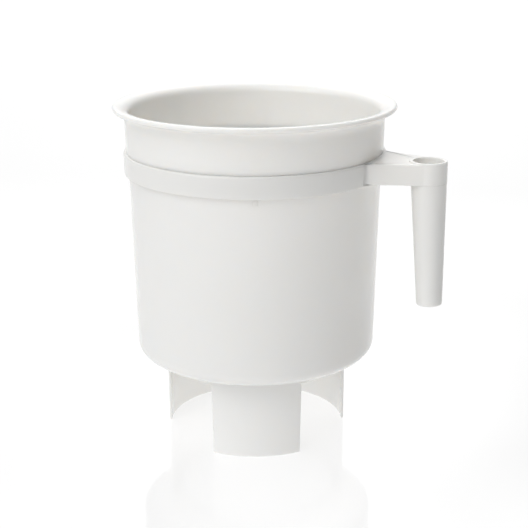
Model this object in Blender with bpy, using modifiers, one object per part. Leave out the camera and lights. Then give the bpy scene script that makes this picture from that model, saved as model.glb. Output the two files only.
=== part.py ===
"""Handled filter bucket that drains like a Buechner funnel.

A drafted bucket stands on a cut-away skirt. Its floor drops into a filter well, where a felt pad
lies on a perforated plate above a drain that a soft stopper closes from below. The handle is a
separate hoop that sits under a shoulder of the wall. Everything turns about the bucket's axis,
which stands off the origin in X, because the origin is the middle of the footprint box.
"""

import math

import bmesh
import bpy
from mathutils import Matrix, Vector

# Driving dimensions, metres and degrees.
rim_radius = 0.0890
rim_top = 0.2154
lip_depth = 0.0032
lip_overhang = 0.0015
lip_reach = 0.007483
flare_depth = 0.0105
underlip_depth = 0.0078

wall_draft = 1.373
wall_thickness = 0.0022
shoulder_step = 0.0010
corner_fillet = 0.0080

floor_underside = 0.0535
floor_thickness = 0.0025

skirt_well_gap = 0.0066
skirt_thickness = 0.0016
leg_half_width = 0.0274
leg_side_slope = 1.4
window_clearance = 0.0015
window_inner_gap = 0.0030

pad_radius = 0.0480
pad_thickness = 0.0080
pad_edge = 0.0018
plate_thickness = 0.0027
plate_edge = 0.0004
plate_hole_radius = 0.0016
plate_hole_pitch = 0.0088
pad_below_floor = 0.0005

ledge_width = 0.0035
dish_drop = 0.0034
rib_count = 6
rib_width = 0.0020
rib_sink = 0.0012

drain_radius = 0.0075
drain_boss_wall = 0.0040
drain_boss_length = 0.0080

stopper_proud = 0.0010
stopper_flange_overhang = 0.0013
stopper_flange_thickness = 0.0030
stopper_neck_radius = 0.0052
stopper_neck_length = 0.0065
stopper_knob_radius = 0.0085
stopper_knob_thickness = 0.0050

hoop_drop = 0.0428
hoop_height = 0.0136
hoop_thickness = 0.0024
hoop_edge = 0.0005

nub_count = 4
nub_width = 0.0030
nub_height = 0.0040
nub_proud = 0.00022
nub_drop = 0.0006
nub_sink = 0.0012

handle_azimuth = -22.3
handle_gap = 0.030426
arm_root_angle = 15.0
arm_lift = 0.0008
boss_collar = 0.00053
boss_rim_raise = 0.0006
boss_edge = 0.0005
grip_length = 0.0762
grip_top_radius = 0.01087
grip_taper = 2.19
grip_lean = 2.1
grip_wall = 0.0022
grip_floor = 0.0022
grip_edge = 0.0010

fit_gap = 0.0003
merge_distance = 0.00001

turn_segments = 64
small_segments = 32
hole_segments = 8
fillet_steps = 5

# Worked-out places.
draft_slope = math.tan(math.radians(wall_draft))
underlip_bottom = rim_top - lip_depth - underlip_depth
underlip_radius = rim_radius - lip_reach
wall_base_radius = underlip_radius - shoulder_step - (underlip_bottom - floor_underside) * draft_slope
hoop_bottom = rim_top - hoop_drop
hoop_top = hoop_bottom + hoop_height
arm_bottom = hoop_bottom + arm_lift
shoulder_height = hoop_top + fit_gap
floor_inside = floor_underside + floor_thickness
pad_top = floor_inside - pad_below_floor
pad_bottom = pad_top - pad_thickness
plate_top = pad_bottom - fit_gap
plate_bottom = plate_top - plate_thickness
ledge_height = plate_bottom - fit_gap
well_radius = pad_radius + fit_gap
plate_radius = well_radius - fit_gap
well_outer_radius = well_radius + wall_thickness
skirt_radius = well_outer_radius + skirt_well_gap + skirt_thickness
corner_radius = min(corner_fillet, wall_base_radius - skirt_radius)
dish_radius = well_radius - ledge_width
plate_hole_rings = int((dish_radius - plate_hole_radius) / plate_hole_pitch)
drain_mouth = ledge_height - dish_drop
boss_outer_radius = drain_radius + drain_boss_wall
stopper_flange_radius = boss_outer_radius + stopper_flange_overhang
dish_slope = dish_drop / (dish_radius - drain_radius)
dish_underside = ledge_height - floor_thickness
boss_root = dish_underside - dish_slope * (dish_radius - boss_outer_radius)
boss_bottom = boss_root - drain_boss_length
window_top = floor_underside - window_clearance
hoop_radius = wall_base_radius + (hoop_bottom - floor_underside) * draft_slope + fit_gap + hoop_thickness
handle_reach = hoop_radius + handle_gap
boss_radius = grip_top_radius + boss_collar
handle_extent = handle_reach * math.cos(math.radians(handle_azimuth)) + boss_radius
axis_x = -(handle_extent - rim_radius) / 2


def outer_wall(height):
    """Outer radius of the drafted wall below the shoulder, at a height."""
    return wall_base_radius + (height - floor_underside) * draft_slope


def inner_wall(height):
    """Inner radius of the wall, which keeps one draft from floor to flare."""
    return outer_wall(height) + shoulder_step / 2 - wall_thickness


def arc(centre_r, centre_z, radius_r, radius_z, start, end, steps):
    """Points of an elliptical arc in (radius, height), angles in degrees from +radius."""
    points = []
    for i in range(steps + 1):
        angle = math.radians(start + (end - start) * i / steps)
        points.append((centre_r + radius_r * math.cos(angle), centre_z + radius_z * math.sin(angle)))
    return points


def material(name, colour, roughness, metallic=0.0):
    """Principled material of one plain colour."""
    result = bpy.data.materials.new(name)
    result.use_nodes = True
    shader = result.node_tree.nodes["Principled BSDF"]
    shader.inputs["Base Color"].default_value = (*colour, 1.0)
    shader.inputs["Roughness"].default_value = roughness
    shader.inputs["Metallic"].default_value = metallic
    return result


def link(obj, collection, parent):
    collection.objects.link(obj)
    obj.parent = parent
    return obj


def turned(name, outline, segments, collection, parent):
    """Body turned about +Z. The outline runs down the outer side; it closes on itself off the axis."""
    mesh = bpy.data.meshes.new(name)
    vertices = [(radius, 0.0, height) for radius, height in outline]
    edges = [(i, i + 1) for i in range(len(outline) - 1)]
    if outline[0][0] > merge_distance:
        edges.append((len(outline) - 1, 0))
    mesh.from_pydata(vertices, edges, [])
    obj = link(bpy.data.objects.new(name, mesh), collection, parent)
    screw = obj.modifiers.new("Turn", "SCREW")
    screw.axis = "Z"
    screw.angle = 2 * math.pi
    screw.steps = segments
    screw.render_steps = segments
    screw.use_merge_vertices = True
    screw.merge_threshold = merge_distance
    screw.use_smooth_shade = True
    return obj


def block(name, low, high, collection, parent, taper=None):
    """Box between two corners; taper moves each corner vertex through a function."""
    low = Vector(low)
    high = Vector(high)
    builder = bmesh.new()
    bmesh.ops.create_cube(builder, size=1.0)
    size = Matrix.Diagonal((*(high - low), 1.0))
    bmesh.ops.transform(builder, matrix=Matrix.Translation((low + high) / 2) @ size, verts=builder.verts)
    if taper:
        for vertex in builder.verts:
            vertex.co = taper(vertex.co)
    mesh = bpy.data.meshes.new(name)
    builder.to_mesh(mesh)
    builder.free()
    return link(bpy.data.objects.new(name, mesh), collection, parent)


def repeated(name, one, places, collection, parent):
    """Copies of a bmesh shape at each matrix, as one cutter of separate solids."""
    builder = bmesh.new()
    for place in places:
        before = len(builder.verts)
        one(builder)
        builder.verts.ensure_lookup_table()
        bmesh.ops.transform(builder, matrix=place, verts=builder.verts[before:])
    mesh = bpy.data.meshes.new(name)
    builder.to_mesh(mesh)
    builder.free()
    return link(bpy.data.objects.new(name, mesh), collection, parent)


def combine(obj, tool, operation):
    """Adds a live Boolean with the exact solver."""
    boolean = obj.modifiers.new(tool.name, "BOOLEAN")
    boolean.operation = operation
    boolean.solver = "EXACT"
    boolean.object = tool


def hide_tool(obj):
    obj.hide_render = True
    obj.display_type = "WIRE"
    return obj


def empty(name, collection, parent=None):
    result = bpy.data.objects.new(name, None)
    return link(result, collection, parent)


def bucket_outline():
    """Closed outline of the bucket: lip, wall, floor, skirt, well, drain, then up the inside."""
    edge_bottom = rim_top - lip_depth
    lip_round = lip_depth / 2
    outline = arc(rim_radius - lip_overhang, rim_top - lip_round,
                  lip_overhang, lip_round, 90, -90, fillet_steps + 1)

    underlip_start = edge_bottom - underlip_depth
    root = outer_wall(underlip_start) + shoulder_step
    reach = rim_radius - lip_overhang - root
    outline += arc(root + reach, underlip_start, -reach, underlip_depth, 78, 0, fillet_steps)

    outline.append((outer_wall(shoulder_height) + shoulder_step, shoulder_height))
    outline.append((outer_wall(shoulder_height), shoulder_height))
    outline.append((outer_wall(hoop_bottom), hoop_bottom))

    corner_centre = floor_underside + corner_radius
    outline += arc(outer_wall(corner_centre) - corner_radius, corner_centre,
                   corner_radius, corner_radius, 0, -90, fillet_steps)

    outline.append((skirt_radius, floor_underside))
    outline.append((skirt_radius, 0.0))
    outline.append((skirt_radius - skirt_thickness, 0.0))
    outline.append((skirt_radius - skirt_thickness, floor_underside))

    outline.append((well_outer_radius, floor_underside))
    outline.append((well_outer_radius, dish_underside))
    outline.append((dish_radius, dish_underside))
    outline.append((boss_outer_radius, boss_root))
    outline.append((boss_outer_radius, boss_bottom))
    outline.append((drain_radius, boss_bottom))
    outline.append((drain_radius, drain_mouth))

    outline.append((dish_radius, ledge_height))
    outline.append((well_radius, ledge_height))
    outline.append((well_radius, floor_inside))
    inner_fillet = corner_radius - wall_thickness
    fillet_centre = floor_inside + inner_fillet
    outline += arc(inner_wall(fillet_centre) - inner_fillet, fillet_centre,
                   inner_fillet, inner_fillet, -90, 0, fillet_steps)

    flare_start = rim_top - flare_depth
    root = inner_wall(flare_start)
    reach = rim_radius - lip_overhang - root
    outline += arc(root + reach, flare_start, -reach, flare_depth, 0, 80, fillet_steps + 2)
    return outline


def skirt_windows(tools, axis):
    """The two openings of the skirt: its ring, less the front leg and the back half."""
    outer = skirt_radius + window_inner_gap
    inner = skirt_radius - skirt_thickness - window_inner_gap
    below = -window_inner_gap
    ring = [(outer, window_top), (outer, below), (inner, below), (inner, window_top)]
    windows = turned("skirt_windows", ring, turn_segments, tools, axis)

    slope = math.tan(math.radians(leg_side_slope))

    def leg_sides(corner):
        half = leg_half_width + corner.z * slope
        return Vector((math.copysign(half, corner.x), corner.y, corner.z))

    high = window_top + window_inner_gap
    low = below - window_inner_gap
    leg = block("front_leg_kept", (-1, -2 * outer, low), (1, 0, high), tools, axis, leg_sides)
    back = block("back_half_kept", (-2 * outer, 0, low), (2 * outer, 2 * outer, high), tools, axis)
    for kept in (leg, back):
        combine(windows, hide_tool(kept), "DIFFERENCE")
    return hide_tool(windows)


def well_ribs(tools, axis):
    """Radial ribs in the dish that carry the middle of the perforated plate."""
    inner = boss_outer_radius
    outer = dish_radius + ledge_width / 2
    size = Vector((outer - inner, rib_width, 1.0))
    centre = Vector(((outer + inner) / 2, 0, 0))

    def one(builder):
        made = bmesh.ops.create_cube(builder, size=1.0)["verts"]
        shape = Matrix.Translation(centre) @ Matrix.Diagonal((*size, 1))
        bmesh.ops.transform(builder, matrix=shape, verts=made)
        for vertex in made:
            root = ledge_height - dish_slope * (dish_radius - vertex.co.x) - rib_sink
            vertex.co.z = ledge_height if vertex.co.z > 0 else root

    turns = [Matrix.Rotation(2 * math.pi * (i + 0.5) / rib_count, 4, "Z") for i in range(rib_count)]
    return hide_tool(repeated("well_ribs", one, turns, tools, axis))


def wall_nubs(tools, axis):
    """Low nubs on the wall just under the hoop, which it snaps over."""
    high = hoop_bottom - nub_drop
    middle = high - nub_height / 2
    face = outer_wall(middle) + nub_proud
    size = Vector((nub_sink, nub_width, nub_height))
    centre = Vector((face - nub_sink / 2, 0, middle))

    def one(builder):
        made = bmesh.ops.create_cube(builder, size=1.0)["verts"]
        shape = Matrix.Translation(centre) @ Matrix.Diagonal((*size, 1))
        bmesh.ops.transform(builder, matrix=shape, verts=made)

    turns = [Matrix.Rotation(2 * math.pi * i / nub_count, 4, "Z") for i in range(nub_count)]
    return hide_tool(repeated("wall_nubs", one, turns, tools, axis))


def make_bucket(parts, tools, axis):
    bucket = turned("bucket", bucket_outline(), turn_segments, parts, axis)
    combine(bucket, skirt_windows(tools, axis), "DIFFERENCE")
    combine(bucket, well_ribs(tools, axis), "UNION")
    combine(bucket, wall_nubs(tools, axis), "UNION")
    return bucket


def make_plate(parts, tools, axis):
    """Perforated disc: one hole in the middle and rings of 6, 12, 18 ... holes round it."""
    outline = [(0, plate_top)]
    outline += arc(plate_radius - plate_edge, plate_top - plate_edge, plate_edge, plate_edge, 90, 0, 2)
    outline += arc(plate_radius - plate_edge, plate_bottom + plate_edge, plate_edge, plate_edge, 0, -90, 2)
    outline.append((0, plate_bottom))
    plate = turned("support_plate", outline, turn_segments, parts, axis)

    depth = plate_thickness + 2 * plate_hole_radius

    def one(builder):
        bmesh.ops.create_cone(builder, cap_ends=True, segments=hole_segments,
                              radius1=plate_hole_radius, radius2=plate_hole_radius, depth=depth)

    middle = (plate_top + plate_bottom) / 2
    places = [Matrix.Translation((0, 0, middle))]
    for ring in range(1, plate_hole_rings + 1):
        for i in range(6 * ring):
            angle = 2 * math.pi * (i + ring / 2) / (6 * ring)
            radius = ring * plate_hole_pitch
            places.append(Matrix.Translation((radius * math.cos(angle), radius * math.sin(angle), middle)))
    holes = hide_tool(repeated("plate_holes", one, places, tools, axis))
    combine(plate, holes, "DIFFERENCE")
    return plate


def make_pad(parts, axis):
    outline = [(0, pad_top)]
    outline += arc(pad_radius - fit_gap - pad_edge, pad_top - pad_edge, pad_edge, pad_edge, 90, 0, 3)
    outline += arc(pad_radius - fit_gap - pad_edge, pad_bottom + pad_edge, pad_edge, pad_edge, 0, -90, 3)
    outline.append((0, pad_bottom))
    return turned("filter_pad", outline, turn_segments, parts, axis)


def make_stopper(parts, axis):
    """Soft plug with a flange under the drain boss and a knob to pull."""
    plug_radius = drain_radius - fit_gap
    plug_top = drain_mouth + stopper_proud
    flange_top = boss_bottom - fit_gap
    flange_bottom = flange_top - stopper_flange_thickness
    knob_top = flange_bottom - stopper_neck_length
    knob_bottom = knob_top - stopper_knob_thickness
    flange_round = stopper_flange_thickness / 2
    knob_round = stopper_knob_thickness / 2

    outline = [(0, plug_top), (plug_radius - stopper_proud, plug_top)]
    outline.append((plug_radius, plug_top - stopper_proud))
    outline.append((plug_radius, flange_top))
    outline += arc(stopper_flange_radius - flange_round, flange_top - flange_round,
                   flange_round, flange_round, 90, -90, 4)
    outline.append((stopper_neck_radius, flange_bottom))
    outline.append((stopper_neck_radius, knob_top))
    outline += arc(stopper_knob_radius - knob_round, knob_top - knob_round,
                   knob_round, knob_round, 90, -90, 4)
    outline.append((0, knob_bottom))
    return turned("drain_stopper", outline, small_segments, parts, axis)


def make_handle(parts, tools, turn):
    """Hoop, arm, boss and hollow grip in one moulding, bored to the wall's draft."""
    outer_top = outer_wall(hoop_top) + fit_gap + hoop_thickness
    outer_bottom = outer_wall(hoop_bottom) + fit_gap + hoop_thickness
    outline = [(0, hoop_top)]
    outline += arc(outer_top - hoop_edge, hoop_top - hoop_edge, hoop_edge, hoop_edge, 90, 0, 2)
    outline += arc(outer_bottom - hoop_edge, hoop_bottom + hoop_edge, hoop_edge, hoop_edge, 0, -90, 2)
    outline.append((0, hoop_bottom))
    handle = turned("handle_ring", outline, turn_segments, parts, turn)

    root = math.radians(arm_root_angle)
    root_x = outer_bottom * math.cos(root) - hoop_thickness
    root_half = outer_bottom * math.sin(root)

    def wedge(corner):
        half = root_half if corner.x < (root_x + handle_reach) / 2 else boss_radius
        return Vector((corner.x, math.copysign(half, corner.y), corner.z))

    arm = block("arm", (root_x, -1, arm_bottom), (handle_reach, 1, hoop_top), tools, turn, wedge)
    combine(handle, hide_tool(arm), "UNION")

    grip = empty("grip_axis", tools, turn)
    grip.location = (handle_reach, 0, hoop_top)
    boss_top = boss_rim_raise
    boss_outline = [(0, boss_top)]
    boss_outline += arc(boss_radius - boss_edge, boss_top - boss_edge, boss_edge, boss_edge, 90, 0, 2)
    boss_bottom_rise = arm_bottom - hoop_top
    boss_outline += [(boss_radius, boss_bottom_rise), (0, boss_bottom_rise)]
    boss = turned("boss", boss_outline, small_segments, tools, grip)
    combine(handle, hide_tool(boss), "UNION")

    lean = empty("grip_lean", tools, grip)
    lean.rotation_euler = (0, -math.radians(grip_lean), 0)
    taper = math.tan(math.radians(grip_taper))
    length = hoop_height + grip_length
    bottom_radius = grip_top_radius - taper * grip_length
    start = -hoop_height / 2
    start_radius = grip_top_radius + taper * (start + hoop_height)
    grip_outline = [(0, start), (start_radius, start)]
    grip_outline += arc(bottom_radius - grip_edge, -length + grip_edge, grip_edge, grip_edge, 0, -90, 3)
    grip_outline.append((0, -length))
    shaft = turned("grip_shaft", grip_outline, small_segments, tools, lean)
    combine(handle, hide_tool(shaft), "UNION")

    past = 2 * hoop_edge
    bore_top = outer_wall(hoop_top + past) + fit_gap
    bore_bottom = outer_wall(hoop_bottom - past) + fit_gap
    bore_outline = [(0, hoop_top + past), (bore_top, hoop_top + past),
                    (bore_bottom, hoop_bottom - past), (0, hoop_bottom - past)]
    bore = turned("hoop_bore", bore_outline, turn_segments, tools, turn)
    combine(handle, hide_tool(bore), "DIFFERENCE")

    hollow_top = boss_rim_raise + past
    hollow_bottom = -length + grip_floor
    top_radius = grip_top_radius + taper * (hollow_top + hoop_height) - grip_wall
    low_radius = bottom_radius + taper * grip_floor - grip_wall
    hollow_outline = [(0, hollow_top), (top_radius, hollow_top),
                      (low_radius, hollow_bottom), (0, hollow_bottom)]
    hollow = turned("grip_hollow", hollow_outline, small_segments, tools, lean)
    combine(handle, hide_tool(hollow), "DIFFERENCE")
    return handle


def main():
    for obj in list(bpy.data.objects):
        bpy.data.objects.remove(obj, do_unlink=True)
    parts = bpy.data.collections.new("filter_funnel")
    tools = bpy.data.collections.new("cutters")
    bpy.context.scene.collection.children.link(parts)
    bpy.context.scene.collection.children.link(tools)

    axis = empty("funnel_axis", parts)
    axis.location = (axis_x, 0, 0)
    turn = empty("handle_turn_axis", parts, axis)
    turn.rotation_euler = (0, 0, math.radians(handle_azimuth))

    white = (0.83, 0.82, 0.79)
    finishes = {
        make_bucket(parts, tools, axis): material("bucket_plastic", white, 0.28),
        make_handle(parts, tools, turn): material("handle_plastic", white, 0.30),
        make_plate(parts, tools, axis): material("plate_plastic", (0.80, 0.80, 0.78), 0.40),
        make_pad(parts, axis): material("pad_felt", (0.72, 0.69, 0.62), 0.95),
        make_stopper(parts, axis): material("stopper_silicone", (0.55, 0.56, 0.57), 0.55),
    }
    for obj, finish in finishes.items():
        obj.data.materials.append(finish)


main()
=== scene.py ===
"""Looks of the handled filter funnel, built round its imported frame.

Each moulded piece is a surface worked out on a grid: a profile in (radius, height) carried round
an axis. The bucket's skirt follows a path in (arc length, height), and the arm's plan outline is
carried round the grip's axis. Places come from the frame's boxes, details from the sizes below.
Lengths are in metres, Z is up and the front leg faces -Y.
"""

import math

import bmesh
import bpy
import numpy as np
from mathutils import Matrix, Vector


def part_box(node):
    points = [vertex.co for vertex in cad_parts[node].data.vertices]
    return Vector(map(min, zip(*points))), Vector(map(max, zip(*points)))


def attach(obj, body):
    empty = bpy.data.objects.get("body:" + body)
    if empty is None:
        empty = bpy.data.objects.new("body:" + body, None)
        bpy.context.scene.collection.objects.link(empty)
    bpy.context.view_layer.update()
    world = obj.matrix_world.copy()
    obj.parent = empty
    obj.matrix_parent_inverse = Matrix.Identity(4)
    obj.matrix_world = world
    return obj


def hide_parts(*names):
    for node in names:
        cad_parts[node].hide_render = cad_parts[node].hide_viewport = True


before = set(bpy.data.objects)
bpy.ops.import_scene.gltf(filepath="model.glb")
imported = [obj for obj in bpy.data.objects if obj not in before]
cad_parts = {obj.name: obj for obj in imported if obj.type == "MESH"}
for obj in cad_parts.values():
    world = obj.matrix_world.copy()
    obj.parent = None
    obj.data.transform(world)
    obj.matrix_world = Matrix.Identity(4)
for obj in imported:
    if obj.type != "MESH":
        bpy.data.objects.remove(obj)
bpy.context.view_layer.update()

# Places read from the frame, in metres.
bucket_low, bucket_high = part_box("bucket")
plate_low, plate_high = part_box("support_plate")
pad_low, pad_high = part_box("filter_pad")
stopper_low, stopper_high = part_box("drain_stopper")

axis_x = (bucket_low.x + bucket_high.x) / 2
rim_radius = (bucket_high.x - bucket_low.x) / 2
rim_top = bucket_high.z
foot = bucket_low.z
pad_radius = (pad_high.x - pad_low.x) / 2
plate_radius = (plate_high.x - plate_low.x) / 2
stopper_radius = (stopper_high.x - stopper_low.x) / 2

# Bucket. The draft and the two slopes of the skirt's sides are in degrees.
lip_depth = 0.0032
lip_overhang = 0.0015
flare_depth = 0.0065
underlip_depth = 0.0078
wall_base_radius = 0.0769
wall_draft = 1.373
wall_thickness = 0.0022
shoulder_step = 0.0010
corner_radius = 0.0080
floor_underside = 0.0535
floor_thickness = 0.0025
skirt_radius = 0.0587
skirt_thickness = 0.0016
skirt_edge = 0.0004
skirt_root_fillet = 0.0007
skirt_root_flat = 0.0005
leg_half_width = 0.0274
leg_side_slope = 1.4
back_side_slope = 0.5
window_top = 0.0520
window_fillet = 0.0032
foot_corner = 0.0008
well_gap = 0.0003
ledge_width = 0.0035
dish_drop = 0.0034
rib_count = 6
rib_width = 0.0020
rib_chamfer = 0.0004
rib_sink = 0.0006
drain_radius = 0.0075
drain_boss_wall = 0.0040
drain_boss_length = 0.0080
small_round = 0.0004
well_root_round = 0.0012
well_mouth_round = 0.0006
boss_root_round = 0.0008
shoulder_round = 0.00005
shoulder_run = 0.0040
hoop_bottom = 0.1726
hoop_height = 0.0136
hoop_gap = 0.0003
shoulder_gap = 0.00003

# Nubs on the wall under the hoop.
nub_count = 4
nub_half_width = 0.0015
nub_half_height = 0.0020
nub_proud = 0.0002
nub_drop = 0.0006

# Handle.
handle_azimuth = math.radians(-22.3)
handle_reach = 0.11288
hoop_thickness = 0.0024
hoop_edge = 0.0005
hoop_top_edge = 0.0015
hoop_bore_edge = 0.0003
hoop_outline_start = 0.0006
hoop_outline_end = 0.0005
arm_root_angle = math.radians(15.0)
arm_edge = 0.0006
arm_under_edge = 0.0003
arm_edge_share = 0.6
arm_fillet = 0.0030
arm_bury = 0.0012
arm_lift = 0.0008
boss_radius = 0.0114
boss_rim_raise = 0.0006
boss_edge = 0.0004
boss_ring_radius = 0.0116
boss_ring_shift = -0.0002
boss_ring_margin = 0.00025
grip_length = 0.0762
grip_top_radius = 0.01087
grip_taper = math.tan(math.radians(2.19))
grip_lean = math.radians(2.1)
grip_wall = 0.0022
grip_floor = 0.0022
grip_edge = 0.0010
grip_start = 0.0003
hollow_corner = 0.0018
hollow_lip = 0.0001
hollow_lip_depth = 0.0012
hollow_lip_flare = 0.00005
hollow_lip_land = 0.0006

# Perforated plate.
plate_edge = 0.0004
plate_hole_radius = 0.0016
plate_hole_pitch = 0.0088
plate_hole_rings = 4
plate_countersink = 0.00035

# Felt pad. A wave of its faces: radians per metre and height. A wave of its rim: number round it,
# phase and height.
pad_edge_share = 0.06
pad_waves = ((120, 0.00016), (300, 0.00009), (760, 0.00005), (1600, 0.00003))
pad_waves_each = 5
pad_rim_waves = ((23, 1.3, 0.00012), (51, 0.4, 0.0001))
pad_rim_inset = 0.00022

# Stopper, from its top down: lead-in, seat, waist and second seat.
plug_lead_in = 0.0004
plug_waist_depth = 0.0006
plug_seat_depth = 0.0030
plug_waist_at = 0.0045
plug_second_seat_at = 0.0060
plug_end_round = 0.0008
plug_seat_round = 0.0010
plug_waist_round = 0.0006
plug_root_round = 0.0005
flange_edge = 0.0013
neck_fillet = 0.0016
knob_edge = 0.0022
stopper_flange_thickness = 0.0030
stopper_neck_radius = 0.0052
stopper_neck_length = 0.0065
stopper_knob_radius = 0.0085

# Grid densities: steps of the arcs, and the longest step along straight stretches.
round_steps = 6
lip_steps = 12
corner_steps = 14
flare_steps = 18
hoop_columns = 288
shoulder_row_step = 0.006
wall_row_step = 0.007
inside_row_step = 0.008
hoop_row_step = 0.0035
skirt_column_step = 0.0021
skirt_rows = 7
grip_row_step = 0.005
hollow_row_step = 0.006
stopper_row_step = 0.002

# Plastics: two whites, then gloss range, grain depth and inner scatter of each, and sink depth.
# The ribs and nubs are the bucket's plastic with no scatter, which would darken such thin meshes.
white = (0.91, 0.90, 0.868)
white_shade = (0.925, 0.915, 0.888)
bucket_gloss = (0.15, 0.22)
bucket_grain = 0.000003
bucket_scatter = 0.7
detail_scatter = 0.0
handle_gloss = (0.17, 0.25)
handle_grain = 0.000004
handle_scatter = 0.25
plate_white = (0.78, 0.775, 0.75)
plate_white_shade = (0.80, 0.80, 0.775)
plate_gloss = (0.38, 0.48)
plate_grain = 0.00003
plate_scatter = 0.35
sink_depth = 0.00006

# Studio floor: even glow, and painted pools of glow as centre x and y, radius, strength; the pools
# fill the bucket's shadow on the floor and light it from below.
floor_half_width = 12.0
floor_gap = 0.0001
floor_glow = 0.44
painted_glow_pools = [
    (0, 0, 0.22, 0.25),
    (-0.3, 0, 0.35, 0.09),
    (0, -0.35, 0.35, 0.21),
    (-0.3, 0.4, 0.4, 0.07),
    (0.05, 0.4, 0.35, 0.06),
    (0.36, 0.38, 0.3, 0.08),
    (0.12, 0.12, 0.2, 0.12),
    (-0.2, -0.2, 0.17, 0.09),
    (0.2, -0.2, 0.17, 0.12),
    (0, -0.16, 0.12, 0.10),
]

# Soft lights of the surround: azimuth from the front (left is negative) and elevation in degrees,
# then sharpness and strength.
soft_lights = [
    (175.0, 5.0, 12.0, 0.17),
    (180.0, 50.0, 8.0, 2.28),
    (-20.0, 35.0, 12.0, 0.74),
    (-40.0, 50.0, 24.0, 1.34),
    (-15.0, 55.0, 24.0, 0.39),
    (-60.0, 35.0, 24.0, 1.63),
]

# Camera: its place in front of the bucket's axis and above the foot, its turns and its lens.
camera_distance = 0.7667
camera_height = 0.3435
camera_pitch = math.radians(16.98)
camera_yaw = math.radians(0.41)
camera_roll = math.radians(0.25)
camera_lens = 83.9
camera_frame_width = 36

# Worked-out heights.
hoop_top = hoop_bottom + hoop_height
shoulder_height = hoop_top + shoulder_gap
floor_inside = floor_underside + floor_thickness
well_radius = plate_radius + well_gap
ledge_height = plate_low.z - well_gap
dish_radius = well_radius - ledge_width
drain_mouth = ledge_height - dish_drop
boss_outer_radius = drain_radius + drain_boss_wall
dish_slope = dish_drop / (dish_radius - drain_radius)
dish_underside = ledge_height - floor_thickness
boss_root = dish_underside - dish_slope * (dish_radius - boss_outer_radius)
boss_bottom = boss_root - drain_boss_length
draft_slope = math.tan(math.radians(wall_draft))


def outer_wall(height):
    """Outer radius of the drafted wall under the shoulder: a straight line in height."""
    return wall_base_radius + (height - floor_underside) * draft_slope


def inner_wall(height):
    """Inner radius of the wall: the outer line, half a shoulder out and one wall in."""
    return outer_wall(height) + shoulder_step / 2 - wall_thickness


def ellipse(centre_r, centre_z, radius_r, radius_z, start, end, steps):
    """Points centre + (a cos t, b sin t) for t from start to end in degrees, as rows."""
    t = np.radians(np.linspace(start, end, steps + 1))
    return np.stack([centre_r + radius_r * np.cos(t), centre_z + radius_z * np.sin(t)], 1)


def rounded(corners, steps=round_steps):
    """Outline through corners (a, b, radius): each corner becomes an arc tangent to both its sides.

    With half angle h between the sides, the arc leaves the sides at radius / tan(h) from the corner.
    """
    outline = []
    points = np.array([c[:2] for c in corners], float)
    for i, (_, _, radius) in enumerate(corners):
        here = points[i]
        if radius <= 0 or i in (0, len(corners) - 1):
            outline.append(here[None])
            continue
        back = points[i - 1] - here
        ahead = points[i + 1] - here
        back /= np.linalg.norm(back)
        ahead /= np.linalg.norm(ahead)
        half = math.acos(np.clip(back @ ahead, -1, 1)) / 2
        reach = radius / math.tan(half)
        middle = (back + ahead) / np.linalg.norm(back + ahead)
        centre = here + middle * radius / math.sin(half)
        first = here + back * reach - centre
        last = here + ahead * reach - centre
        turn = math.atan2(first[0] * last[1] - first[1] * last[0], first @ last)
        t = np.linspace(0, turn, steps + 1)[:, None]
        side = np.array([-first[1], first[0]])
        outline.append(centre + np.cos(t) * first + np.sin(t) * side)
    return np.concatenate(outline)


def spread(points, longest):
    """Same outline with extra points, so that no step is longer than a length."""
    rows = []
    for a, b in zip(points[:-1], points[1:]):
        count = max(1, math.ceil(np.linalg.norm(b - a) / longest))
        rows.append(a + (b - a) * np.arange(count)[:, None] / count)
    rows.append(points[-1:])
    return np.concatenate(rows)


def surface(name, grid, closed_along, smooth_angle=40):
    """Closed mesh from a grid of points [round, along]: the first direction always wraps.

    Rows that shrink to a point are merged into a pole, and normals are made to point outwards.
    """
    around, along, _ = grid.shape
    mesh = bpy.data.meshes.new(name)
    last = along if closed_along else along - 1
    i, j = np.meshgrid(np.arange(around), np.arange(last), indexing="ij")
    a = i * along + j
    b = ((i + 1) % around) * along + j
    c = ((i + 1) % around) * along + (j + 1) % along
    d = i * along + (j + 1) % along
    quads = np.stack([a, b, c, d], -1).reshape(-1, 4)
    mesh.vertices.add(around * along)
    mesh.vertices.foreach_set("co", grid.reshape(-1).astype(np.float32))
    mesh.loops.add(quads.size)
    mesh.loops.foreach_set("vertex_index", quads.reshape(-1).astype(np.int32))
    mesh.polygons.add(len(quads))
    mesh.polygons.foreach_set("loop_start", np.arange(0, quads.size, 4, dtype=np.int32))
    mesh.update(calc_edges=True)
    return cleaned(name, mesh, smooth_angle)


def cleaned(name, mesh, smooth_angle=40):
    """Piece from a mesh: doubles merged, faces outwards, smooth but for edges past an angle."""
    builder = bmesh.new()
    builder.from_mesh(mesh)
    bmesh.ops.remove_doubles(builder, verts=builder.verts, dist=2e-6)
    bmesh.ops.dissolve_degenerate(builder, edges=builder.edges, dist=1e-6)
    bmesh.ops.recalc_face_normals(builder, faces=builder.faces)
    builder.to_mesh(mesh)
    builder.free()
    mesh.shade_smooth()
    mesh.set_sharp_from_angle(angle=math.radians(smooth_angle))
    piece = bpy.data.objects.new(name, mesh)
    bpy.context.scene.collection.objects.link(piece)
    return piece


def turned(name, outline, columns, closed_along, smooth_angle=40):
    """Surface of revolution about the bucket's axis: (r cos a, r sin a, z) for each outline point."""
    a = np.arange(columns) * 2 * math.pi / columns
    grid = np.empty((columns, len(outline), 3))
    grid[..., 0] = axis_x + np.cos(a)[:, None] * outline[None, :, 0]
    grid[..., 1] = np.sin(a)[:, None] * outline[None, :, 0]
    grid[..., 2] = outline[None, :, 1]
    return surface(name, grid, closed_along, smooth_angle)


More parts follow.
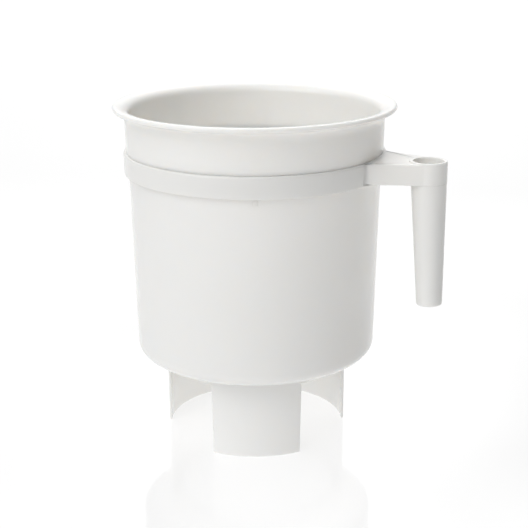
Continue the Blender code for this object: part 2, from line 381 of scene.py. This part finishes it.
def bake_modifiers(piece):
    """Replaces a piece's mesh by its evaluated one and drops its modifiers."""
    bpy.context.view_layer.update()
    seen = piece.evaluated_get(bpy.context.evaluated_depsgraph_get())
    mesh = bpy.data.meshes.new_from_object(seen)
    piece.modifiers.clear()
    piece.data = mesh
    return piece


def combine(piece, tool, operation):
    """Joins or cuts a piece with another closed mesh, then removes the tool."""
    boolean = piece.modifiers.new("Join", "BOOLEAN")
    boolean.operation = operation
    boolean.solver = "EXACT"
    boolean.object = tool
    bake_modifiers(piece)
    bpy.data.objects.remove(tool, do_unlink=True)
    piece.data.shade_smooth()
    piece.data.set_sharp_from_angle(angle=math.radians(35))
    return piece


def skirt_path():
    """Lower edge of the skirt as (arc length from the front, height), once round from the back.

    Half of it runs along the foot of the leg, up its side, along the window and down the back
    half's side. The other half is its mirror image. Every corner is an arc.
    """
    middle = skirt_radius - skirt_thickness / 2
    leg = middle * math.asin(leg_half_width / skirt_radius)
    leg_top = leg + (window_top - foot) * math.tan(math.radians(leg_side_slope))
    back = middle * math.pi / 2
    back_top = back - (window_top - foot) * math.tan(math.radians(back_side_slope))
    half = rounded([
        (0, foot, 0),
        (leg, foot, foot_corner),
        (leg_top, window_top, window_fillet),
        (back_top, window_top, window_fillet),
        (back, foot, foot_corner),
        (middle * math.pi, foot, 0),
    ], 8)
    half = spread(half, skirt_column_step)
    mirror = half[::-1] * [-1, 1]
    return np.concatenate([mirror[:-1], half[:-1]]), middle


def bucket_body():
    """The bucket in one closed surface: columns follow the skirt's edge, rows follow the section.

    Above the floor every column holds one section. On the skirt a column runs down to the edge
    path, goes round it by an offset along the path's normal, and comes back up inside.
    """
    path, middle = skirt_path()
    step = np.roll(path, -1, 0) - np.roll(path, 1, 0)
    length = 2 * math.pi * middle
    step[:, 0] = (step[:, 0] + length / 2) % length - length / 2
    step /= np.linalg.norm(step, axis=1)[:, None]
    normal = np.stack([-step[:, 1], step[:, 0]], 1)

    lip_round = lip_depth / 2
    edge_bottom = rim_top - lip_depth
    lip_radius = rim_radius - lip_overhang
    outer = [ellipse(lip_radius, rim_top - lip_round, lip_overhang, lip_round, 90, -90, lip_steps)]
    start = edge_bottom - underlip_depth
    root = outer_wall(start) + shoulder_step
    outer.append(ellipse(lip_radius, start, root - lip_radius, underlip_depth, 80, 0, lip_steps))
    shoulder_end = shoulder_height - shoulder_run
    shoulder = rounded([
        (root, start, 0),
        (outer_wall(shoulder_height) + shoulder_step, shoulder_height, shoulder_round),
        (outer_wall(shoulder_height), shoulder_height, shoulder_round),
        (outer_wall(shoulder_end), shoulder_end, 0),
    ], 4)
    outer.append(spread(shoulder, shoulder_row_step)[1:])
    corner_height = floor_underside + corner_radius
    corner_wall = outer_wall(corner_height)
    wall = np.array([[outer_wall(shoulder_end), shoulder_end], [corner_wall, corner_height]])
    outer.append(spread(wall, wall_row_step)[1:-1])
    outer.append(ellipse(corner_wall - corner_radius, corner_height,
                         corner_radius, corner_radius, 0, -90, corner_steps))
    outer = np.concatenate(outer)

    well_outer = well_radius + wall_thickness
    inside_fillet = corner_radius - wall_thickness
    fillet_height = floor_inside + inside_fillet
    fillet_wall = inner_wall(fillet_height)
    inner = rounded([
        (skirt_radius - skirt_thickness - skirt_root_fillet - skirt_root_flat, floor_underside, 0),
        (well_outer, floor_underside, small_round),
        (well_outer, dish_underside, well_root_round),
        (dish_radius, dish_underside, 0),
        (boss_outer_radius, boss_root, boss_root_round),
        (boss_outer_radius, boss_bottom, small_round),
        (drain_radius, boss_bottom, small_round),
        (drain_radius, drain_mouth, well_mouth_round),
        (dish_radius, ledge_height, small_round),
        (well_radius, ledge_height, small_round),
        (well_radius, floor_inside, well_mouth_round),
        (fillet_wall - inside_fillet, floor_inside, 0),
    ], 5)
    flare_start = rim_top - flare_depth
    flare_root = inner_wall(flare_start)
    inside_wall = np.array([[fillet_wall, fillet_height], [flare_root, flare_start]])
    inner = np.concatenate([
        spread(inner, inside_row_step),
        ellipse(fillet_wall - inside_fillet, fillet_height,
                inside_fillet, inside_fillet, -90, 0, lip_steps)[1:],
        spread(inside_wall, inside_row_step)[1:-1],
        ellipse(lip_radius, flare_start, flare_root - lip_radius, flare_depth, 0, 84, flare_steps),
    ])

    t = np.radians(np.linspace(0, 90, 5))
    skirt_top = floor_underside - skirt_root_fillet
    root_out = np.stack([skirt_radius + skirt_root_fillet * (1 - np.sin(t)),
                         floor_underside - skirt_root_fillet * (1 - np.cos(t))], 1)
    root_in = root_out[::-1] * [-1, 1] + [2 * middle, 0]
    skirt_inside = skirt_radius - skirt_thickness

    columns = len(path)
    angle = path[:, 0] / middle - math.pi / 2
    rows = []

    def section(points):
        """Rows of the plain section, the same in every column."""
        for radius, height in points:
            rows.append(np.stack([np.full(columns, radius), angle, np.full(columns, height)], 1))

    def skirt_row(radius, inset, share):
        """A row on the skirt: share of the way from the floor's fillet to the inset edge path."""
        edge = path + normal * inset
        turn = angle + (edge[:, 0] - path[:, 0]) / middle * share
        height = skirt_top + (edge[:, 1] - skirt_top) * share
        rows.append(np.stack([np.full(columns, radius), turn, height], 1))

    section(outer)
    section(root_out)
    for share in np.linspace(0, 1, skirt_rows)[1:-1]:
        skirt_row(skirt_radius, skirt_edge, share)
    for bend in np.radians(np.linspace(0, 90, 5)):
        inset = skirt_edge * (1 - math.sin(bend))
        skirt_row(skirt_radius - skirt_edge * (1 - math.cos(bend)), inset, 1)
    for bend in np.radians(np.linspace(90, 0, 5)):
        inset = skirt_edge * (1 - math.sin(bend))
        skirt_row(skirt_inside + skirt_edge * (1 - math.cos(bend)), inset, 1)
    for share in np.linspace(1, 0, skirt_rows)[1:-1]:
        skirt_row(skirt_inside, skirt_edge, share)
    section(root_in)
    section(inner)

    polar = np.stack(rows, 1)
    grid = np.empty_like(polar)
    grid[..., 0] = axis_x + polar[..., 0] * np.cos(polar[..., 1])
    grid[..., 1] = polar[..., 0] * np.sin(polar[..., 1])
    grid[..., 2] = polar[..., 2]
    return surface("bucket_body", grid, True, 50)


def well_ribs():
    """Radial ribs in the dish: a strip from the drain's boss to the ledge, one for each angle.

    Across the rib the height runs from the dish to the ledge's level, less a chamfer at the sides.
    """
    radius = np.linspace(boss_outer_radius, dish_radius + ledge_width / 2, 9)
    low = ledge_height - dish_slope * (dish_radius - radius) - rib_sink
    half = rib_width / 2
    inset = half - rib_chamfer
    across = np.array([-half, -half, -inset, inset, half, half])
    share = np.array([0.0, 1.0, 1.0, 1.0, 1.0, 0.0])
    drop = np.array([0, rib_chamfer, 0, 0, rib_chamfer, 0])
    rib = np.empty((len(across), len(radius) + 2, 3))
    rib[:, 1:-1, 0] = radius
    rib[:, 1:-1, 1] = across[:, None]
    rib[:, 1:-1, 2] = low + (ledge_height - low) * share[:, None] - drop[:, None]
    rib[:, 0] = rib[:, 1].mean(0)
    rib[:, -1] = rib[:, -2].mean(0)
    pieces = []
    for i in range(rib_count):
        angle = 2 * math.pi * (i + 0.5) / rib_count
        grid = rib.copy()
        grid[..., 0] = axis_x + rib[..., 0] * math.cos(angle) - rib[..., 1] * math.sin(angle)
        grid[..., 1] = rib[..., 0] * math.sin(angle) + rib[..., 1] * math.cos(angle)
        pieces.append(surface(f"rib_{i}", grid, False))
    return join(pieces, "well_ribs")


def wall_nubs():
    """Low cushions on the wall under the hoop, evenly round it, each backed in the wall.

    A cushion's plan is a squared circle (|cos t|^0.5, |sin t|^0.5), and at the share s of the way
    to its edge it stands proud * sqrt(1 - s^4).
    """
    middle = hoop_bottom - nub_drop - nub_half_height
    base = outer_wall(middle)
    t = np.arange(40) * 2 * math.pi / 40
    share = np.concatenate([[0.0], np.sin(np.radians(np.linspace(8, 90, 12)))])
    proud = nub_proud * np.sqrt(np.clip(1 - share ** 4, 0, None))
    depth = np.concatenate([proud, np.full(len(share), -2 * nub_proud)])
    share = np.concatenate([share, share[::-1]])
    u = (np.sign(np.cos(t)) * np.abs(np.cos(t)) ** 0.5)[:, None] * share * nub_half_width
    v = (np.sign(np.sin(t)) * np.abs(np.sin(t)) ** 0.5)[:, None] * share * nub_half_height
    radius = base + v * draft_slope + depth
    pieces = []
    for i in range(nub_count):
        turn = -math.pi / 2 + 2 * math.pi * i / nub_count + u / base
        grid = np.stack([axis_x + radius * np.cos(turn), radius * np.sin(turn), middle + v], 2)
        pieces.append(surface(f"nub_{i}", grid, False))
    return join(pieces, "wall_nubs")


def join(pieces, name):
    """One object from several, by adding their meshes together."""
    builder = bmesh.new()
    for piece in pieces:
        builder.from_mesh(piece.data)
        bpy.data.objects.remove(piece, do_unlink=True)
    mesh = bpy.data.meshes.new(name)
    builder.to_mesh(mesh)
    builder.free()
    mesh.shade_smooth()
    mesh.set_sharp_from_angle(angle=math.radians(40))
    result = bpy.data.objects.new(name, mesh)
    bpy.context.scene.collection.objects.link(result)
    return result


def hoop():
    """The hoop: a flat ring, its upper outer edge well rounded, its bore one gap off the wall."""
    top_in = outer_wall(hoop_top) + hoop_gap
    bottom_in = outer_wall(hoop_bottom) + hoop_gap
    outline = rounded([
        (top_in + hoop_outline_start, hoop_top, 0),
        (top_in + hoop_thickness, hoop_top, hoop_top_edge),
        (bottom_in + hoop_thickness, hoop_bottom, hoop_edge),
        (bottom_in, hoop_bottom, hoop_bore_edge),
        (top_in, hoop_top, hoop_bore_edge),
        (top_in + hoop_outline_end, hoop_top, 0),
    ], 5)
    return turned("handle_hoop", spread(outline, hoop_row_step), hoop_columns, True)


def arm_outline():
    """Plan of arm and boss about the boss's centre, once round from the outer end.

    Half of it is a quarter circle on the boss, a straight side towards the hoop, a fillet tangent
    to that side and to the hoop's outer circle, and an arc buried in the hoop.
    """
    hoop_radius = outer_wall(hoop_bottom + hoop_height / 2) + hoop_gap + hoop_thickness
    centre = np.array([-handle_reach, 0.0])
    root = centre + hoop_radius * np.array([math.cos(arm_root_angle), math.sin(arm_root_angle)])
    root[0] -= hoop_thickness
    leave = np.array([0.0, boss_radius])
    along = (root - leave) / np.linalg.norm(root - leave)
    out = np.array([along[1], -along[0]])
    start = leave + out * arm_fillet - centre
    half_b = start @ along
    constant = start @ start - (hoop_radius + arm_fillet) ** 2
    reach = -half_b - math.sqrt(half_b ** 2 - constant)
    fillet_centre = centre + start + along * reach
    touch_side = leave + along * reach
    touch_hoop = centre + (fillet_centre - centre) * hoop_radius / (hoop_radius + arm_fillet)

    quarter = np.radians(np.linspace(0, 90, 29))[:-1]
    boss = boss_radius * np.stack([np.cos(quarter), np.sin(quarter)], 1)
    view = np.linspace(math.pi / 2, math.atan2(touch_side[1], touch_side[0]), 34)[:-1]
    ray = np.stack([np.cos(view), np.sin(view)], 1)
    side = ray * ((leave @ out) / (ray @ out))[:, None]
    first = touch_side - fillet_centre
    last = touch_hoop - fillet_centre
    turn = math.atan2(first[0] * last[1] - first[1] * last[0], first @ last)
    t = np.linspace(0, turn, 10)[:, None]
    cross = np.array([-first[1], first[0]])
    fillet = fillet_centre + np.cos(t) * first + np.sin(t) * cross
    bury = hoop_radius - arm_bury
    wide = math.atan2(touch_hoop[1], touch_hoop[0] + handle_reach)
    t = np.linspace(wide, 0, 16)
    buried = centre + bury * np.stack([np.cos(t), np.sin(t)], 1)
    half = np.concatenate([boss, side, fillet, buried])
    mirror = half[::-1][1:-1] * [1, -1]
    return np.concatenate([half, mirror])


def arm_and_grip():
    """Arm, boss and hollow grip in one closed surface round the grip's axis.

    Rows run from the hollow's floor up its wall, over the raised rim, out across the arm's top to
    its plan outline, down its side, in under it, and down the leaning tapered grip to its end.
    """
    plan = arm_outline()
    angle = np.arctan2(plan[:, 1], plan[:, 0])
    ray = np.stack([np.cos(angle), np.sin(angle)], 1)
    step = np.roll(plan, -1, 0) - np.roll(plan, 1, 0)
    step /= np.linalg.norm(step, axis=1)[:, None]
    outward = np.stack([step[:, 1], -step[:, 0]], 1)
    distance = np.linalg.norm(plan, axis=1)
    shift = boss_ring_shift * ray[:, 0]
    ring = shift + np.sqrt(boss_ring_radius ** 2 - boss_ring_shift ** 2 + shift ** 2)
    ring = np.minimum(ring, distance - boss_ring_margin)
    edge = np.minimum(arm_edge, (distance - ring) * arm_edge_share)
    rows = []

    def row(flat, height):
        """Level row over the plan points, at a height under the hoop's top."""
        rows.append(np.concatenate([flat, np.full((len(plan), 1), height)], 1))

    def leaning(radius, height):
        """Circle about the leaning axis, turned out by the lean about the boss's top centre."""
        flat = ray * radius
        x = flat[:, 0] * math.cos(grip_lean) - height * math.sin(grip_lean)
        z = flat[:, 0] * math.sin(grip_lean) + height * math.cos(grip_lean)
        rows.append(np.stack([x, flat[:, 1], z], 1))

    length = hoop_height + grip_length
    end_radius = grip_top_radius - grip_taper * grip_length
    hollow_end = end_radius - grip_wall + grip_taper * grip_floor
    hollow_rise = length - grip_floor
    hollow_top = hollow_end + grip_taper * hollow_rise
    hollow = rounded([
        (0, -hollow_rise, 0),
        (hollow_end, -hollow_rise, hollow_corner),
        (hollow_top, 0, 0),
    ], 6)
    for radius, height in spread(hollow, hollow_row_step)[:-1]:
        leaning(radius, height)
    mouth = hollow_top + hollow_lip
    rim = rounded([
        (mouth, -hollow_lip_depth, 0),
        (mouth + hollow_lip_flare, boss_rim_raise, boss_edge),
        (mouth + hollow_lip_land, boss_rim_raise, 0),
    ], 5)
    for radius, height in rim:
        row(ray * radius, height)
    for bend in np.radians(np.linspace(0, 90, 6)):
        reach = ring - boss_edge * (1 - math.sin(bend))
        row(ray * reach[:, None], boss_rim_raise - boss_edge * (1 - math.cos(bend)))
    inset = plan - outward * edge[:, None]
    start = ray * ring[:, None]
    for share in np.linspace(0, 1, 7):
        row(start + (inset - start) * share, 0.0)
    for bend in np.radians(np.linspace(0, 90, 5))[1:]:
        flat = inset + outward * (edge * math.sin(bend))[:, None]
        height = -edge * (1 - math.cos(bend))
        rows.append(np.concatenate([flat, height[:, None]], 1))
    low = arm_lift - hoop_height
    lower_edge = arm_under_edge + edge / 2
    for share in (0.3, 0.6):
        row(plan, low * share)
    for bend in np.radians(np.linspace(0, 90, 5)):
        flat = plan - outward * (lower_edge * (1 - math.cos(bend)))[:, None]
        height = low + lower_edge * (1 - math.sin(bend))
        rows.append(np.concatenate([flat, height[:, None]], 1))
    under = plan - outward * lower_edge[:, None]
    collar = ray * grip_top_radius + [-math.tan(grip_lean) * low, 0]
    for share in np.linspace(0, 1, 6)[1:]:
        row(under + (collar - under) * share, low)
    grip = rounded([
        (grip_top_radius, low - grip_start, 0),
        (end_radius, -length, grip_edge),
        (0, -length, 0),
    ], 7)
    for radius, height in spread(grip, grip_row_step):
        leaning(radius, height)

    flat_grid = np.stack(rows, 1)
    x = flat_grid[..., 0] + handle_reach
    y = flat_grid[..., 1]
    grid = np.empty_like(flat_grid)
    grid[..., 0] = axis_x + x * math.cos(handle_azimuth) - y * math.sin(handle_azimuth)
    grid[..., 1] = x * math.sin(handle_azimuth) + y * math.cos(handle_azimuth)
    grid[..., 2] = flat_grid[..., 2] + hoop_top
    return surface("arm_and_grip", grid, False, 45)


def perforated_plate():
    """A thin disc with rounded rim, cut by one hole and rings of 6, 12, 18 ... round holes."""
    outline = rounded([
        (0, plate_high.z, 0),
        (plate_radius, plate_high.z, plate_edge),
        (plate_radius, plate_low.z, plate_edge),
        (0, plate_low.z, 0),
    ], 5)
    plate = turned("perforated_plate", outline, 192, False)
    drills = []
    for ring in range(plate_hole_rings + 1):
        count = max(1, 6 * ring)
        for i in range(count):
            turn = 2 * math.pi * (i + ring / 2) / count
            reach = ring * plate_hole_pitch
            drills.append(drill(reach * math.cos(turn), reach * math.sin(turn)))
    return combine(plate, join(drills, "plate_drills"), "DIFFERENCE")


def drill(x, y):
    """A closed rod whose ends flare, so that the hole it cuts has a small countersink."""
    flare = plate_countersink
    outline = np.array([
        [0, plate_high.z + flare],
        [plate_hole_radius + 2 * flare, plate_high.z + flare],
        [plate_hole_radius, plate_high.z - flare],
        [plate_hole_radius, plate_low.z + flare],
        [plate_hole_radius + 2 * flare, plate_low.z - flare],
        [0, plate_low.z - flare],
    ])
    rod = turned("drill", outline, 28, False)
    rod.data.transform(Matrix.Translation((x, y, 0)))
    return rod


def felt_pad():
    """A felt disc on a grid of angle and share of the radius, top face then bottom face.

    Both faces dip by a sum of sine waves in random directions, scaled by the profile
    sqrt(1 - e^2), where e is the share of the way through the rounded edge. The rim wavers by two
    sines of the angle.
    """
    middle = (pad_high.z + pad_low.z) / 2
    half = (pad_high.z - pad_low.z) / 2
    columns = 240
    random = np.random.default_rng(7)
    flat_share = 1 - pad_edge_share
    edge = flat_share + pad_edge_share * np.sin(np.radians(np.linspace(8, 90, 12)))
    share = np.concatenate([np.linspace(0, flat_share, 44), edge])
    profile = np.sqrt(np.clip(1 - np.clip((share - flat_share) / pad_edge_share, 0, 1) ** 2, 0, 1))
    angle = np.arange(columns) * 2 * math.pi / columns
    across = np.cos(angle)[:, None] * share * pad_radius
    deep = np.sin(angle)[:, None] * share * pad_radius
    swell = np.zeros_like(across)
    for wave, height in pad_waves:
        for _ in range(pad_waves_each):
            heading = random.uniform(0, 2 * math.pi)
            phase = random.uniform(0, 2 * math.pi)
            along = across * math.cos(heading) + deep * math.sin(heading)
            swell += height * np.sin(wave * along + phase)
    swell -= swell.max()
    ripple = sum(height * np.sin(angle * count + phase) for count, phase, height in pad_rim_waves)
    ripple -= pad_rim_inset
    reach = 1 + (share ** 6)[None, :] * ripple[:, None] / pad_radius
    grid = np.empty((columns, 2 * len(share), 3))
    for side, cells in ((1, slice(0, len(share))), (-1, slice(None, len(share) - 1, -1))):
        grid[:, cells, 0] = axis_x + across * reach
        grid[:, cells, 1] = deep * reach
        grid[:, cells, 2] = middle + (half + swell / 2) * profile * side
    return surface("felt_pad", grid, False, 80)


def soft_stopper():
    """A plug with a lead-in and a waist, a rounded flange and a pull knob, turned in one piece."""
    top = stopper_high.z
    plug_radius = drain_radius - hoop_gap
    flange_top = boss_bottom - hoop_gap
    flange_low = flange_top - stopper_flange_thickness
    knob_top = flange_low - stopper_neck_length
    outline = rounded([
        (0, top, 0),
        (plug_radius - plug_lead_in, top, plug_end_round),
        (plug_radius, top - plug_seat_depth, plug_seat_round),
        (plug_radius - plug_waist_depth, top - plug_waist_at, plug_waist_round),
        (plug_radius, top - plug_second_seat_at, plug_end_round),
        (plug_radius, flange_top, plug_root_round),
        (stopper_radius, flange_top, flange_edge),
        (stopper_radius, flange_low, flange_edge),
        (stopper_neck_radius, flange_low, neck_fillet),
        (stopper_neck_radius, knob_top, neck_fillet),
        (stopper_knob_radius, knob_top, knob_edge),
        (stopper_knob_radius, stopper_low.z, knob_edge),
        (0, stopper_low.z, 0),
    ], 6)
    return turned("soft_stopper", spread(outline, stopper_row_step), 96, False)


# Materials.


def new_material(name):
    """Empty Principled material with its tree, shader and object coordinates."""
    result = bpy.data.materials.new(name)
    result.use_nodes = True
    tree = result.node_tree
    shader = tree.nodes["Principled BSDF"]
    coordinates = tree.nodes.new("ShaderNodeTexCoord")
    return result, tree, shader, coordinates.outputs["Object"]


def noise(tree, where, scale, detail=3.0, roughness=0.5, stretch=(1, 1, 1)):
    """Noise texture on object coordinates, stretched by a Mapping."""
    mapping = tree.nodes.new("ShaderNodeMapping")
    mapping.inputs["Scale"].default_value = stretch
    tree.links.new(where, mapping.inputs["Vector"])
    texture = tree.nodes.new("ShaderNodeTexNoise")
    texture.inputs["Scale"].default_value = scale
    texture.inputs["Detail"].default_value = detail
    texture.inputs["Roughness"].default_value = roughness
    tree.links.new(mapping.outputs["Vector"], texture.inputs["Vector"])
    return texture.outputs["Fac"]


def remap(tree, value, low, high, new_low, new_high):
    """Linear map of a value from one range to another, clamped."""
    node = tree.nodes.new("ShaderNodeMapRange")
    node.inputs["From Min"].default_value = low
    node.inputs["From Max"].default_value = high
    node.inputs["To Min"].default_value = new_low
    node.inputs["To Max"].default_value = new_high
    tree.links.new(value, node.inputs["Value"])
    return node.outputs["Result"]


def blend_colours(tree, share, first, second):
    """Colour between two, by a share."""
    node = tree.nodes.new("ShaderNodeMix")
    node.data_type = "RGBA"
    node.inputs["A"].default_value = (*first, 1)
    node.inputs["B"].default_value = (*second, 1)
    tree.links.new(share, node.inputs["Factor"])
    return node.outputs["Result"]


def bump(tree, shader, layers):
    """Chain of bumps on a shader's normal, each from a height output with a depth in metres."""
    normal = None
    for height, depth in layers:
        node = tree.nodes.new("ShaderNodeBump")
        node.inputs["Strength"].default_value = 1.0
        node.inputs["Distance"].default_value = depth
        tree.links.new(height, node.inputs["Height"])
        if normal:
            tree.links.new(normal, node.inputs["Normal"])
        normal = node.outputs["Normal"]
    tree.links.new(normal, shader.inputs["Normal"])


def moulded_plastic(name, colour, shade, gloss, grain, scatter):
    """White moulded polypropylene: faint flow tone, uneven gloss, fine spark-eroded grain."""
    result, tree, shader, where = new_material(name)
    flow = noise(tree, where, 7.0, 3.0, 0.5, (1, 1, 0.35))
    tone = remap(tree, flow, 0.2, 0.8, 0.0, 1.0)
    tree.links.new(blend_colours(tree, tone, colour, shade), shader.inputs["Base Color"])
    smear = noise(tree, where, 26.0, 5.0, 0.6, (1, 1, 0.5))
    tree.links.new(remap(tree, smear, 0.3, 0.72, *gloss), shader.inputs["Roughness"])
    shader.inputs["IOR"].default_value = 1.49
    shader.inputs["Specular IOR Level"].default_value = 0.5
    shader.inputs["Subsurface Weight"].default_value = scatter
    shader.inputs["Subsurface Radius"].default_value = (0.006, 0.0054, 0.0048)
    shader.inputs["Subsurface Scale"].default_value = 1.0
    fine = noise(tree, where, 2600.0, 2.0, 0.6)
    sink = noise(tree, where, 18.0, 1.0, 0.3)
    bump(tree, shader, [(fine, grain), (sink, sink_depth)])
    return result


def felt():
    """Pressed filter felt: matted fibres from two stretched noises that cross, over clumps."""
    result, tree, shader, where = new_material("pressed_felt")
    fibres = noise(tree, where, 700.0, 6.0, 0.7, (1, 0.25, 1))
    crossing = noise(tree, where, 700.0, 6.0, 0.7, (0.25, 1, 1))
    clumps = noise(tree, where, 130.0, 4.0, 0.6)
    tone = remap(tree, fibres, 0.3, 0.7, 0.0, 1.0)
    wool = blend_colours(tree, tone, (0.55, 0.51, 0.43), (0.78, 0.75, 0.68))
    tree.links.new(wool, shader.inputs["Base Color"])
    shader.inputs["Roughness"].default_value = 0.95
    shader.inputs["Specular IOR Level"].default_value = 0.15
    shader.inputs["Sheen Weight"].default_value = 0.35
    shader.inputs["Sheen Roughness"].default_value = 0.5
    bump(tree, shader, [(fibres, 0.0006), (crossing, 0.0006), (clumps, 0.0010)])
    return result


def silicone():
    """Soft translucent grey silicone: dusty gloss and a light scatter inside."""
    result, tree, shader, where = new_material("grey_silicone")
    dust = noise(tree, where, 60.0, 5.0, 0.6)
    tone = remap(tree, dust, 0.35, 0.7, 0.0, 1.0)
    grey = blend_colours(tree, tone, (0.50, 0.51, 0.52), (0.60, 0.61, 0.61))
    tree.links.new(grey, shader.inputs["Base Color"])
    tree.links.new(remap(tree, dust, 0.3, 0.7, 0.42, 0.62), shader.inputs["Roughness"])
    shader.inputs["Subsurface Weight"].default_value = 0.3
    shader.inputs["Subsurface Radius"].default_value = (1.0, 0.95, 0.9)
    shader.inputs["Subsurface Scale"].default_value = 0.004
    fine = noise(tree, where, 1500.0, 2.0, 0.5)
    bump(tree, shader, [(fine, 0.00003)])
    return result


def finish_with(piece, material, body, slot_name, *nodes):
    """Gives a piece its material, its body and the nodes it stands for; its record slot is not used.
    """
    piece.data.materials.clear()
    piece.data.materials.append(material)
    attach(piece, body)
    if nodes:
        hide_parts(*nodes)


# Studio.


def studio_floor():
    """A wide pale glossy floor just under the foot, with an even glow and painted pools of glow.

    Each painted pool adds strength * smoothstep(1 - distance / radius) to the glow: painted light
    that fills the bucket's shadow on the floor and lights the bucket from below.
    """
    builder = bmesh.new()
    bmesh.ops.create_grid(builder, x_segments=2, y_segments=2, size=floor_half_width)
    mesh = bpy.data.meshes.new("studio_floor")
    builder.to_mesh(mesh)
    builder.free()
    mesh.transform(Matrix.Translation((0, 0, foot - floor_gap)))
    floor = bpy.data.objects.new("studio_floor", mesh)
    bpy.context.scene.collection.objects.link(floor)
    result, tree, shader, where = new_material("floor_painted_glow")
    shader.inputs["Base Color"].default_value = (0.3, 0.3, 0.3, 1)
    shader.inputs["Roughness"].default_value = 0.08
    shader.inputs["Emission Color"].default_value = (1, 1, 1, 1)
    total = floor_glow
    # Painted light: pools of glow that fill the bucket's shadow on the floor and light the bucket
    # from below.
    for x, y, radius, strength in painted_glow_pools:
        away = tree.nodes.new("ShaderNodeVectorMath")
        away.operation = "DISTANCE"
        away.inputs[1].default_value = (x, y, foot)
        tree.links.new(where, away.inputs[0])
        glow = remap(tree, away.outputs["Value"], 0.0, radius, 1.0, 0.0)
        glow.node.interpolation_type = "SMOOTHSTEP"
        total = math_node(tree, "MULTIPLY_ADD", glow, strength, total)
    tree.links.new(total, shader.inputs["Emission Strength"])
    mesh.materials.append(result)


def light_direction(azimuth, elevation):
    """Unit vector from an azimuth measured from -Y towards +X, and an elevation."""
    turn = math.radians(azimuth)
    rise = math.radians(elevation)
    return (math.sin(turn) * math.cos(rise), -math.cos(turn) * math.cos(rise), math.sin(rise))


def studio_world():
    """White to the camera, and as a light the sum of the soft lights.

    Each adds strength * ((1 + cos angle) / 2) ** sharpness, angle being that to its direction.
    """
    world = bpy.data.worlds.new("studio")
    bpy.context.scene.world = world
    world.use_nodes = True
    tree = world.node_tree
    background = tree.nodes["Background"]
    direction = tree.nodes.new("ShaderNodeTexCoord").outputs["Generated"]
    total = 0.0
    for azimuth, elevation, sharpness, strength in soft_lights:
        facing = tree.nodes.new("ShaderNodeVectorMath")
        facing.operation = "DOT_PRODUCT"
        facing.inputs[1].default_value = light_direction(azimuth, elevation)
        tree.links.new(direction, facing.inputs[0])
        half = math_node(tree, "MULTIPLY_ADD", facing.outputs["Value"], 0.5, 0.5)
        peak = math_node(tree, "POWER", half, sharpness)
        total = math_node(tree, "MULTIPLY_ADD", peak, strength, total)
    seen = tree.nodes.new("ShaderNodeLightPath").outputs["Is Camera Ray"]
    level = tree.nodes.new("ShaderNodeMix")
    level.inputs["B"].default_value = 1.0
    tree.links.new(seen, level.inputs["Factor"])
    tree.links.new(total, level.inputs["A"])
    background.inputs["Color"].default_value = (1, 1, 1, 1)
    tree.links.new(level.outputs["Result"], background.inputs["Strength"])


def math_node(tree, operation, *values):
    """Math node whose inputs are outputs or plain numbers."""
    node = tree.nodes.new("ShaderNodeMath")
    node.operation = operation
    for socket, value in zip(node.inputs, values):
        if isinstance(value, (int, float)):
            socket.default_value = value
        else:
            tree.links.new(value, socket)
    return node.outputs["Value"]


def studio_camera():
    """Camera in front of the leg, looking down on the bucket."""
    data = bpy.data.cameras.new("camera")
    data.sensor_width = camera_frame_width
    data.lens = camera_lens
    data.clip_start = 0.01
    camera = bpy.data.objects.new("camera", data)
    turn = Matrix.Rotation(-camera_yaw, 4, "Z") @ Matrix.Rotation(math.pi / 2 - camera_pitch, 4, "X")
    place = Matrix.Translation((axis_x, -camera_distance, foot + camera_height))
    camera.matrix_world = place @ turn @ Matrix.Rotation(-camera_roll, 4, "Z")
    bpy.context.scene.collection.objects.link(camera)
    bpy.context.scene.camera = camera


def main():
    """Builds the pieces with their finishes, then the studio."""
    bucket_plastic = moulded_plastic("bucket_plastic", white, white_shade,
                                     bucket_gloss, bucket_grain, bucket_scatter)
    detail_plastic = moulded_plastic("detail_plastic", white, white_shade,
                                     bucket_gloss, bucket_grain, detail_scatter)
    handle_plastic = moulded_plastic("handle_plastic", white, white_shade,
                                     handle_gloss, handle_grain, handle_scatter)
    plate_plastic = moulded_plastic("plate_plastic", plate_white, plate_white_shade,
                                    plate_gloss, plate_grain, plate_scatter)

    finish_with(bucket_body(), bucket_plastic, "bucket", "bucket_plastic", "bucket")
    finish_with(well_ribs(), detail_plastic, "bucket", "bucket_plastic")
    finish_with(wall_nubs(), detail_plastic, "bucket", "bucket_plastic")
    handle = combine(hoop(), arm_and_grip(), "UNION")
    finish_with(handle, handle_plastic, "handle", "handle_plastic", "handle_ring")
    finish_with(perforated_plate(), plate_plastic, "plate", "plate_plastic", "support_plate")
    pad = felt_pad()
    finish_with(pad, felt(), "pad", "pad_felt", "filter_pad")
    finish_with(soft_stopper(), silicone(), "stopper", "stopper_silicone", "drain_stopper")

    studio_floor()
    studio_world()
    studio_camera()
    bpy.context.scene.view_settings.view_transform = "Standard"


main()
